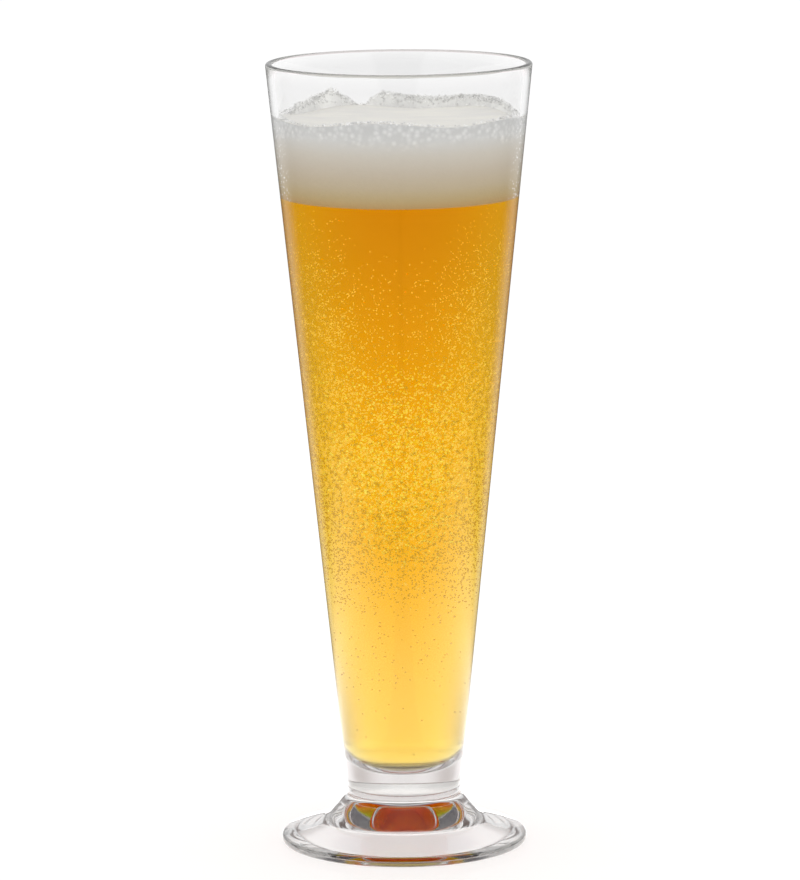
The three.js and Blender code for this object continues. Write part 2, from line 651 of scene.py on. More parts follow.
@dataclass(frozen=True)
class ClearGlass:
    """Colourless glass with a faint grey in its depth, and painted shade on its rim, the foot's edge and the
    thick base.

    Each face bends light by what it touches, which the face's own attribute says.

    Attributes:
        rim_height: Height of the rim.
        foot_radius: Radius of the foot.
        rim_depth: Depth below the rim over which its painted shade comes in.
        rim_shade: Colour of the painted shade on the rim, in place of the dark room that the rim shows.
        foot_depth: Depth in from the foot's edge over which its painted shade comes in.
        foot_top: Heights over which the foot's painted shade ends.
        foot_shade: Colour of the painted shade on the foot's edge.
        edge_gain: How fast both painted shades come in: above 1 they are full before the edge.
        base_start: Heights over which the painted shade of the thick base begins.
        base_end: Heights over which it ends.
        base_shade: Colour of that painted shade.
        waviness: Height of the faint waves that pressing leaves.
        absorption: Density of the faint grey in the depth, per metre.
        tint: Colour that this grey keeps.
    """

    rim_height: float
    foot_radius: float
    rim_depth: float = 0.9 * MM
    rim_shade: Colour = (0.36, 0.36, 0.35)
    foot_depth: float = 1.0 * MM
    foot_top: Range = (8 * MM, 9 * MM)
    foot_shade: Colour = (0.57, 0.57, 0.56)
    edge_gain: float = 1.6
    base_start: Range = (14 * MM, 18 * MM)
    base_end: Range = (25 * MM, 28 * MM)
    base_shade: Colour = (0.74, 0.74, 0.735)
    waviness: float = 0.02 * MM
    absorption: float = 12.0
    tint: Colour = (0.81, 0.81, 0.805)

    def material(self) -> bpy.types.Material:
        """Builds the material.

        Returns:
            The new material.
        """
        material, graph, shader = new_material("clear_glass")
        place, split = graph.place()
        height = split.outputs["Z"]
        reach = graph.length_aside(split)
        grey_edge = (0.0, self.edge_gain)
        # Painted shade: the rim, the foot's edge and the thick base are tinted grey in the glass's colour,
        # in place of the darker room that they show.
        rim = graph.span(height, (self.rim_height - self.rim_depth, self.rim_height), grey_edge)
        foot = graph.product(
            graph.span(reach, (self.foot_radius - self.foot_depth, self.foot_radius), grey_edge),
            graph.span(height, self.foot_top, FADE),
        )
        base = graph.product(graph.span(height, self.base_end, FADE), graph.span(height, self.base_start))
        colour = graph.mix(base, WHITE, self.base_shade)
        colour = graph.mix(foot, colour, self.foot_shade)
        waves = graph.clouds(place, Scale=60.0, Detail=1.0)
        graph.fill(
            shader,
            Base_Color=graph.mix(rim, colour, self.rim_shade),
            Roughness=0.0,
            Transmission_Weight=1.0,
            IOR=graph.node("Attribute", attribute_name=BEND).outputs["Fac"],
            Normal=graph.bump(waves, Distance=self.waviness),
        )
        depth = graph.node("VolumeAbsorption", Color=self.tint, Density=self.absorption)
        graph.output(Volume=depth.outputs["Volume"])
        return material


@dataclass(frozen=True)
class AmberBeer:
    """Clear beer: it only absorbs, because the wet faces of the glass already bend the light.

    Attributes:
        absorption: Density of the absorbing volume, per metre.
        tint: Colour that the volume keeps.
    """

    absorption: float = 105.0
    tint: Colour = (0.9786, 0.83, 0.03)

    def material(self) -> bpy.types.Material:
        """Builds the material.

        Returns:
            The new material.
        """
        material, graph, shader = new_material("amber_beer")
        graph.fill(shader, Base_Color=WHITE, Roughness=0.0, IOR=AIR_INDEX, Transmission_Weight=1.0)
        depth = graph.node("VolumeAbsorption", Color=self.tint, Density=self.absorption)
        graph.output(Volume=depth.outputs["Volume"])
        return material


@dataclass(frozen=True)
class GasBubble:
    """Gas in beer: a face that bends light the other way than glass does.

    Attributes:
        index: Index of refraction from the beer into the gas.
    """

    index: float = AIR_INDEX / BEER_INDEX

    def material(self) -> bpy.types.Material:
        """Builds the material.

        Returns:
            The new material.
        """
        material, graph, shader = new_material("gas_bubble")
        graph.tree.nodes.remove(shader)
        gas = graph.node("BsdfGlass", Color=WHITE, Roughness=0.0, IOR=self.index)
        graph.output(Surface=gas.outputs["BSDF"])
        return material


@dataclass(frozen=True)
class PaleBead:
    """A bubble close to the wall, which glows with painted light in place of the light of the room that it
    would throw back at the viewer.

    Attributes:
        name: The material's name.
        colour: Colour of the painted glow of a bright one.
        dim: Colour of the painted glow of a dim one.
        far: Colour of the painted glow of one on the far wall.
        far_wall: Distances behind the axis over which the far wall begins.
        sides: Shares of the way to the left or right over which fewer have a bright painted glow.
        side_change: Lightness that is added to the painted glow before and after those.
        bottom: Heights over which the painted glow comes up to its full lightness.
        bottom_change: Lightness that is added to the painted glow below those.
        body: Colour of the bead itself.
        glow: Strength of the painted glow, which stands in for the light that reaches it from inside the
            beer.
    """

    name: str = "pale_bead"
    colour: Colour = (1.0, 0.6, 0.07)
    dim: Colour = (0.62, 0.34, 0.02)
    far: Colour = (1.0, 0.85, 0.15)
    far_wall: Range = (0.0, 10 * MM)
    sides: Range = (0.6, 0.98)
    side_change: Range = (0.06, -0.1)
    bottom: Range = (85 * MM, 118 * MM)
    bottom_change: float = -0.25
    body: Colour = (0.02, 0.01, 0.0)
    glow: float = 1.0

    def material(self) -> bpy.types.Material:
        """Builds the material.

        Returns:
            The new material.
        """
        material, graph, shader = new_material(self.name)
        place, split = graph.place()
        # Painted light: the bead's colour is its own glow, brighter or dimmer at random, dimmer to the sides
        # and low down, and yellower on the far wall.
        change = graph.math(
            "ADD",
            graph.span(graph.sideways(split), self.sides, self.side_change),
            graph.span(split.outputs["Z"], self.bottom, (self.bottom_change, 0.0)),
        )
        lightness = graph.math("ADD", graph.clouds(place, Scale=700.0, Detail=0.0), change)
        colour = graph.ramp(lightness, ((0.4, self.dim), (0.54, self.colour)))
        far = graph.span(split.outputs["Y"], self.far_wall)
        graph.fill(
            shader,
            Base_Color=self.body,
            Emission_Color=graph.mix(far, colour, self.far),
            Emission_Strength=self.glow,
            Roughness=0.5,
            Specular_IOR_Level=0.1,
        )
        material.cycles.emission_sampling = "NONE"
        return material


@dataclass(frozen=True)
class PaleFoam:
    """Foam that turns from tan at the beer to grey white at its top, with fine bubbles. The tan is its own
    colour; its side is also painted darker than its top, and darker towards the beer, as painted shade.

    Attributes:
        low: Height of the beer.
        high: Height of the foam's edge.
        side: Colours of its side, from the beer up to the edge: its own tan and grey white, with painted
            shade that darkens it towards the beer.
        froth: What the coarse bubbles along the edge make of the colour, from their middles outwards:
            painted highlights in their middles and a little painted shade at their rims.
        froth_band: Shares of the way up over which they begin.
        raggedness: How much that beginning wanders.
        spot_size: Distances from its middle over which a painted highlight ends.
        spot_sides: Shares of the way to the left or right over which the painted highlights begin.
        top: Colour of the foam's top where it is thick.
        grey_top: Colour of its top where it is thin.
        top_slope: Upright shares of the normal over which its top begins.
        fine_cells: How many fine bubbles there are to a metre.
    """

    low: float
    high: float
    side: Stops = (
        (0.0, (0.46, 0.28, 0.10)),
        (0.1, (0.47, 0.35, 0.17)),
        (0.25, (0.5, 0.41, 0.27)),
        (0.45, (0.54, 0.47, 0.37)),
        (0.65, (0.595, 0.55, 0.475)),
        (0.85, (0.64, 0.635, 0.615)),
        (1.0, (0.61, 0.61, 0.6)),
    )
    froth: Stops = ((0.0, plain_grey(1.24)), (0.3, plain_grey(1.1)), (0.65, plain_grey(0.96)))
    froth_band: Range = (0.95, 1.08)
    raggedness: float = 0.4
    spot_size: Range = (0.18, 0.3)
    spot_sides: Range = (0.9, 0.97)
    top: Colour = (0.8, 0.785, 0.73)
    grey_top: Colour = (0.74, 0.73, 0.7)
    top_slope: Range = (0.4, 0.8)
    fine_cells: float = 900.0

    def material(self) -> bpy.types.Material:
        """Builds the material.

        Returns:
            The new material.
        """
        material, graph, shader = new_material("pale_foam")
        place, split = graph.place()
        fine = graph.cells(place, self.fine_cells)
        side = self.side_colour(graph, place, split, fine)
        graph.fill(
            shader,
            # Painted shade: the side gets darker colours than the top, chosen by the way the surface faces.
            Base_Color=graph.mix(self.top_share(graph), side, self.top_colour(graph, place)),
            Normal=graph.bump(fine, Distance=0.25 * MM, Strength=0.35),
            Roughness=0.85,
        )
        return material

    def top_share(self, graph: Graph) -> Socket:
        """Says where the foam's top is, by the way its surface faces.

        Args:
            graph: The material's nodes.

        Returns:
            The socket of the share, 1 on the top.
        """
        facing = graph.node("SeparateXYZ", Vector=graph.node("TexCoord").outputs["Normal"])
        return graph.span(facing.outputs["Z"], self.top_slope)

    def side_colour(self, graph: Graph, place: Socket, split: Node, fine: Socket) -> Socket:
        """Gives the colour of the foam's side, with coarse bubbles and bright points, both with painted
        highlights.

        Args:
            graph: The material's nodes.
            place: The place on the foam.
            split: The node that has split it into its three parts.
            fine: Distance to the middle of the nearest fine bubble.

        Returns:
            The colour's socket.
        """
        way_up = graph.node("MapRange", Value=split.outputs["Z"], From_Min=self.low, From_Max=self.high)
        level = way_up.outputs["Result"]
        colour = graph.ramp(level, self.side)
        # Painted highlights: the coarse bubbles are lighter in their middles and a little darker at their
        # rims.
        froth = graph.ramp(graph.cells(place, 620.0), self.froth)
        cloud = graph.product(graph.clouds(place, Scale=130.0, Detail=2.0), self.raggedness)
        band = graph.span(graph.math("ADD", level, cloud), self.froth_band)
        colour = graph.mix(band, colour, graph.mix(1.0, colour, froth, "MULTIPLY"))
        # Painted highlights: bright white points on the foam's left and right sides.
        painted_highlights = graph.product(
            graph.span(fine, self.spot_size, FADE),
            graph.span(graph.sideways(split), self.spot_sides),
        )
        return graph.mix(painted_highlights, colour, WHITE)

    def top_colour(self, graph: Graph, place: Socket) -> Socket:
        """Gives the colour of the foam's top, cream with grey streaks.

        Args:
            graph: The material's nodes.
            place: The place on the foam.

        Returns:
            The colour's socket.
        """
        swirl = graph.node("Mapping", Vector=place, Scale=(0.35, 1.0, 1.0)).outputs["Vector"]
        streaks = graph.clouds(swirl, Scale=170.0, Detail=4.0, Roughness=0.6)
        return graph.ramp(streaks, ((0.35, self.grey_top), (0.6, self.top)))


@dataclass(frozen=True)
class FoamUnderside:
    """Underside of the foam, with a painted glow that stands in for the light that has come down through the
    froth.

    Attributes:
        bubbles: Colours from the middle of a bubble outwards.
        glow: Strength of the painted glow.
        colour: Colour of the painted glow.
    """

    bubbles: Stops = ((0.0, (0.4, 0.36, 0.3)), (1.0, (0.31, 0.25, 0.18)))
    glow: float = 0.6
    colour: Colour = (0.5, 1.0, 0.2)

    def material(self) -> bpy.types.Material:
        """Builds the material.

        Returns:
            The new material.
        """
        material, graph, shader = new_material("foam_underside")
        place, _ = graph.place()
        graph.fill(
            shader,
            Base_Color=graph.ramp(graph.cells(place, 700.0), self.bubbles),
            # Painted light: the underside glows, though it is no lamp.
            Emission_Color=self.colour,
            Emission_Strength=self.glow,
            Roughness=0.85,
        )
        return material


@dataclass(frozen=True)
class FrothSkin:
    """Thin grey froth on the wall, with paler cells in it.

    Attributes:
        grey: Colour of the thin places.
        pale: Colour of the thick ones.
    """

    grey: Colour = (0.8, 0.8, 0.79)
    pale: Colour = (0.97, 0.97, 0.95)

    def material(self) -> bpy.types.Material:
        """Builds the material.

        Returns:
            The new material.
        """
        material, graph, shader = new_material("froth_skin")
        place, _ = graph.place()
        cloud = graph.clouds(place, Scale=160.0, Detail=3.0)
        graph.fill(
            shader,
            Base_Color=graph.ramp(cloud, ((0.35, self.grey), (0.65, self.pale))),
            Normal=graph.bump(graph.cells(place, 1100.0), Distance=0.3 * MM, Strength=0.5),
            Roughness=0.6,
        )
        return material


@dataclass(frozen=True)
class FrothBead:
    """A bubble of the froth on the wall, between grey and a white that is a painted highlight.

    Attributes:
        grey: Colour of the clear ones.
        white: Colour of those painted white as a highlight, as if they catch the light.
    """

    grey: Colour = (0.72, 0.72, 0.71)
    white: Colour = (1.0, 1.0, 0.99)

    def material(self) -> bpy.types.Material:
        """Builds the material.

        Returns:
            The new material.
        """
        material, graph, shader = new_material("froth_bead")
        place, _ = graph.place()
        shade = graph.clouds(place, Scale=900.0, Detail=0.0)
        graph.fill(
            shader,
            # Painted highlights: some beads are painted white where they would catch the light.
            Base_Color=graph.ramp(shade, ((0.4, self.grey), (0.62, self.white))),
            Roughness=0.3,
        )
        return material


def dress(piece: Piece, slot: Slot, *materials: bpy.types.Material) -> None:
    """Gives a piece its materials and its body.

    Args:
        piece: The piece.
        slot: The record's slot; not used.
        materials: One material for each of the piece's own slots.
    """
    for material in materials:
        piece.data.materials.append(material)
    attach(piece, BODY)


# The glass


@dataclass
class Vessel:
    """The glass itself: bowl, joining wafer and foot.

    Attributes:
        rim_radius: Outside radius at the rim.
        rim_wall: Wall at the rim.
        floor_wall: Wall beside the inside floor.
        floor_thickness: Solid glass under the inside floor.
        floor_round: Rounding between floor and wall.
        waist_radius: Outside radius where the bowl meets the wafer.
        waist_neck: Upright stretch below the waist, taken up by its rounding.
        waist_round: Rounding between waist and flare.
        foot_edge: Thickness of the foot's rounded edge.
        flare_radius: Where the flare runs out on the foot.
        flare_height: Top of the foot there.
        flare_round: Rounding between flare and foot.
        rest_radius: Inside radius of the ring that the glass stands on.
        hollow_radius: Flat top of the hollow under the foot.
        hollow_cover: Glass between the hollow and the wafer.
        hollow_round: Rounding of the hollow.
        wet_height: Height up to which beer and foam wet the wall.
        seam: Rounding that shows the fused seams as fine lines.
        seam_gap: Space that keeps two fused faces from lying in one plane.
    """

    rim_radius: float = 39.5 * MM
    rim_wall: float = 2.0 * MM
    floor_wall: float = 4.2 * MM
    floor_thickness: float = 5.3 * MM
    floor_round: float = 9.5 * MM
    waist_radius: float = 17.0 * MM
    waist_neck: float = 2.5 * MM
    waist_round: float = 6.8 * MM
    foot_edge: float = 2.5 * MM
    flare_radius: float = 23.4 * MM
    flare_height: float = 7.0 * MM
    flare_round: float = 7.0 * MM
    rest_radius: float = 32.0 * MM
    hollow_radius: float = 7.0 * MM
    hollow_cover: float = 3.0 * MM
    hollow_round: float = 10.0 * MM
    wet_height: float = 220.0 * MM
    seam: float = 0.25 * MM
    seam_gap: float = 0.03 * MM

    def __post_init__(self) -> None:
        """Takes the heights that the frame gives, and works out the slope of the inner wall."""
        self.waist_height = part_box("bowl")[0].z
        self.rim_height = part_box("bowl")[1].z
        self.wafer_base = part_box("joining_wafer")[0].z
        self.foot_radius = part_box("foot")[1].x
        self.floor_height = self.waist_height + self.floor_thickness
        taper = (self.rim_radius - self.waist_radius) / (self.rim_height - self.waist_height)
        self.inner_at_floor = self.waist_radius + taper * self.floor_thickness - self.floor_wall
        rise = self.rim_height - self.floor_height
        self.inner_taper = (self.rim_radius - self.rim_wall - self.inner_at_floor) / rise

    def inner_radius(self, height: float) -> float:
        """Gives the radius of the bowl's inner wall at a height."""
        return self.inner_at_floor + self.inner_taper * (height - self.floor_height)

    def build_bowl(self) -> Piece:
        """Turns the bowl, with a break in its inner wall where the wet part ends.

        Returns:
            The bowl.
        """
        lip = self.rim_wall / 2
        bowl = turn("glass_bowl", [
            Corner(0, self.waist_height),
            Corner(self.waist_radius, self.waist_height, self.seam),
            Corner(self.rim_radius, self.rim_height, lip),
            Corner(self.rim_radius - self.rim_wall, self.rim_height, lip),
            Corner(self.inner_radius(self.wet_height), self.wet_height),
            Corner(self.inner_at_floor, self.floor_height, self.floor_round),
            Corner(0, self.floor_height),
        ])
        mark_faces(bowl, self.bowl_face)
        return bowl

    def bowl_face(self, face: Face) -> GlassFace:
        """Says what a face of the bowl touches.

        Args:
            face: The face.

        Returns:
            The kind of face.
        """
        outward = face.normal.x * face.center.x + face.normal.y * face.center.y
        inside = outward < 0 or face.normal.z > FACING_UP
        if face.normal.z < -LEVEL:
            return GlassFace.FUSED
        if inside and face.center.z < self.wet_height:
            return GlassFace.WET
        return GlassFace.DRY

    def lower_corners(self) -> list[Corner]:
        """Gives the outline of foot and wafer in one.

        Returns:
            The corners, from the hollow round to the waist.
        """
        hollow_top = self.wafer_base - self.hollow_cover
        edge = self.foot_edge / 2
        return [
            Corner(0, hollow_top),
            Corner(self.hollow_radius, hollow_top, self.hollow_round),
            Corner(self.rest_radius, 0, self.hollow_round),
            Corner(self.foot_radius, 0, edge),
            Corner(self.foot_radius, self.foot_edge, edge),
            Corner(self.flare_radius, self.flare_height, self.flare_round),
            Corner(self.waist_radius, self.waist_height - self.waist_neck, self.waist_round),
            Corner(self.waist_radius, self.waist_height - self.seam_gap, self.seam),
            Corner(0, self.waist_height - self.seam_gap),
        ]

    def build_wafer(self) -> Piece:
        """Turns the wafer from that outline and cuts it off level over the foot.

        Returns:
            The wafer.
        """
        wafer = turn("joining_button", self.lower_corners())
        keep_side(wafer, self.wafer_base, above=True)
        mark_faces(wafer, self.lower_face)
        return wafer

    def build_foot(self) -> Piece:
        """Turns the foot from the same outline and cuts it off level under the wafer.

        Returns:
            The foot.
        """
        foot = turn("glass_foot", self.lower_corners())
        keep_side(foot, self.wafer_base - self.seam_gap, above=False)
        mark_faces(foot, self.lower_face)
        return foot

    def lower_face(self, face: Face) -> GlassFace:
        """Says what a face of the foot or the wafer touches.

        Args:
            face: The face.

        Returns:
            The kind of face.
        """
        seam = min((self.wafer_base, self.waist_height), key=lambda z: abs(z - face.center.z))
        fused = abs(face.normal.z) > LEVEL and abs(seam - face.center.z) < self.seam_gap * 2
        return GlassFace.FUSED if fused else GlassFace.DRY

    def build(self) -> list[Piece]:
        """Builds and dresses the three pieces of glass.

        Returns:
            The pieces.
        """
        glass = ClearGlass(self.rim_height, self.foot_radius).material()
        pieces: list[Piece] = []
        for make, node in (
            (self.build_bowl, "bowl"),
            (self.build_wafer, "joining_wafer"),
            (self.build_foot, "foot"),
        ):
            piece = make()
            smooth(piece)
            dress(piece, Slot.GLASS, glass)
            piece.visible_diffuse = False
            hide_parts(node)
            pieces.append(piece)
        return pieces


# The drink


@dataclass(frozen=True)
class BubbleZone:
    """A stretch of the beer with bubbles of one kind.

    Attributes:
        name: The piece's name.
        kind: How they look.
        low: Height where the bubbles begin.
        peak: Height where most of them are.
        high: Height where they end.
        count: How many there are.
        sizes: Least and greatest radius.
        depth: Mean distance from the wall of those near it.
        loose: Share of them that is anywhere in the beer.
        aside: How much they keep to the left and the right, from 0 to 1.
    """

    name: str
    kind: BubbleKind
    low: float
    peak: float
    high: float
    count: int
    sizes: Range
    depth: float
    loose: float = 0.0
    aside: float = 0.0


@dataclass
class Drink:
    """The beer and the gas that rises in it.

    Attributes:
        vessel: The glass that holds it.
        gap: Space between the beer and the wall.
        bubble_gap: Least space between a bubble and the beer's side.
        back_share: Share of the bubbles that the back has, against the front.
        aside_power: How sharply the bubbles of a zone keep to its left and right.
        seed: Seed of the bubbles' places.
        deep_bead: Finish of the bubbles deep in the beer, a painted glow.
        zones: Where the bubbles are.
    """

    vessel: Vessel
    gap: float = 0.1 * MM
    bubble_gap: float = 0.1 * MM
    back_share: float = 0.05
    aside_power: float = 2.5
    seed: int = 7
    # The deep beads glow with painted light, like those near the wall
    deep_bead: PaleBead = PaleBead("deep_bead", colour=(1.0, 0.8, 0.12), dim=(0.85, 0.62, 0.08))
    zones: tuple[BubbleZone, ...] = (
        BubbleZone("beads_top", BubbleKind.PALE, 150 * MM, 160 * MM, 195 * MM, 2400,
                   (0.13 * MM, 0.22 * MM), 0.3 * MM, aside=1.0),
        BubbleZone("beads_upper", BubbleKind.PALE, 120 * MM, 140 * MM, 185 * MM, 6500,
                   (0.14 * MM, 0.26 * MM), 0.3 * MM, aside=0.85),
        BubbleZone("beads_middle", BubbleKind.PALE, 88 * MM, 118 * MM, 150 * MM, 6000,
                   (0.18 * MM, 0.34 * MM), 0.3 * MM, aside=0.35),
        BubbleZone("beads_low", BubbleKind.PALE, 72 * MM, 90 * MM, 120 * MM, 2600,
                   (0.18 * MM, 0.32 * MM), 0.3 * MM, aside=0.2),
        BubbleZone("beads_deep", BubbleKind.DEEP, 85 * MM, 115 * MM, 150 * MM, 3200,
                   (0.2 * MM, 0.36 * MM), 1.0 * MM, loose=1.0),
        BubbleZone("bubbles_lower", BubbleKind.CLEAR, 28 * MM, 70 * MM, 95 * MM, 200,
                   (0.14 * MM, 0.3 * MM), 0.6 * MM),
    )

    def __post_init__(self) -> None:
        """Takes the height that the frame gives."""
        self.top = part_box("beer")[1].z - self.gap

    def radius(self, height: float) -> float:
        """Gives the beer's radius at a height, above the rounded bottom."""
        return self.vessel.inner_radius(height) - self.gap

    def floor_reach(self, height: float) -> float:
        """Gives the beer's radius at a height, the rounded bottom included.

        Args:
            height: Height above the table.

        Returns:
            The radius.
        """
        drop = self.vessel.floor_height + self.vessel.floor_round - height
        if drop <= 0:
            return self.radius(height)
        centre = self.radius(height + drop) - self.vessel.floor_round
        return centre + math.sqrt(max(self.vessel.floor_round**2 - drop**2, 0.0))

    def build_beer(self) -> Piece:
        """Turns the beer, just clear of the wall.

        Returns:
            The beer.
        """
        floor = self.vessel.floor_height + self.gap
        return turn("amber_beer", [
            Corner(0, floor),
            Corner(self.radius(floor), floor, self.vessel.floor_round - self.gap),
            Corner(self.radius(self.top), self.top),
            Corner(0, self.top),
        ])

    def bubble_angle(self, zone: BubbleZone, dice: random.Random) -> float:
        """Draws an angle round the axis, more often on the side of the photograph.

        Args:
            zone: The zone.
            dice: The source of the draws.

        Returns:
            The angle from +X towards +Y.
        """
        while True:
            angle = dice.uniform(0, math.tau)
            front = self.back_share + (1 - self.back_share) * math.sqrt(max(0.0, -math.sin(angle)))
            aside = abs(math.cos(angle)) ** self.aside_power
            if dice.random() < front * (1 - zone.aside + zone.aside * aside):
                return angle

    def bubble_places(self, zone: BubbleZone, dice: random.Random) -> list[Place]:
        """Draws the places of one zone's bubbles.

        Args:
            zone: The zone.
            dice: The source of the draws.

        Returns:
            Centre and radius of each bubble.
        """
        places: list[Place] = []
        while len(places) < zone.count:
            height = dice.triangular(zone.low, zone.high, zone.peak)
            size = dice.uniform(*zone.sizes)
            angle = self.bubble_angle(zone, dice)
            widest = self.floor_reach(height - size) - size - self.bubble_gap
            if dice.random() < zone.loose:
                reach = widest * math.sqrt(dice.random())
            else:
                reach = widest - dice.expovariate(1 / zone.depth)
            if reach > 0 and height + size <= self.top:
                places.append((on_circle(reach, angle, height), size))
        return places

    def build(self, bead: bpy.types.Mesh) -> list[Piece]:
        """Builds and dresses the beer and its bubbles.

        Args:
            bead: The mesh that each bubble copies.

        Returns:
            The pieces.
        """
        beer = self.build_beer()
        smooth(beer)
        dress(beer, Slot.BEER, AmberBeer().material())
        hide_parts("beer")
        pieces = [beer]
        finishes = {
            BubbleKind.CLEAR: GasBubble().material(),
            BubbleKind.PALE: PaleBead().material(),
            BubbleKind.DEEP: self.deep_bead.material(),
        }
        dice = random.Random(self.seed)
        for zone in self.zones:
            bubbles = scatter(zone.name, bead, self.bubble_places(zone, dice))
            dress(bubbles, Slot.BEER, finishes[zone.kind])
            pieces.append(bubbles)
        return pieces


# The froth


@dataclass(frozen=True)
class FrothPatch:
    """A stretch of froth beads on the wall.

    Attributes:
        name: The piece's name.
        angles: Where it begins and ends round the axis, in degrees from +X towards +Y.
        rise: Lowest and highest place above the foam's edge.
        count: How many beads it has.
        sizes: Least and greatest radius.
        depth: How far from the wall the beads are strewn.
    """

    name: str
    angles: Range
    rise: Range
    count: int
    sizes: Range
    depth: float


@dataclass(frozen=True)
class Lacing:
    """A mound of froth that clings to the wall above the foam.

    Attributes:
        node: The node of the frame that it stands for.
        name: The piece's name.
        angles: Where it begins and ends round the axis, in degrees from +X towards +Y.
        outline: Share of the way round and height above the foam's edge, for each turn of its outline.
    """

    node: str
    name: str
    angles: Range
    outline: tuple[Range, ...]

    def height(self, share: float) -> float:
        """Gives the height of its outline above the foam's edge.

        Args:
            share: Share of the way round.

        Returns:
            The height.
        """
        for (left, low), (right, high) in pairwise(self.outline):
            if share <= right:
                step = (share - left) / (right - left)
                return low + (high - low) * step * step * (3 - 2 * step)
        return self.outline[-1][1]


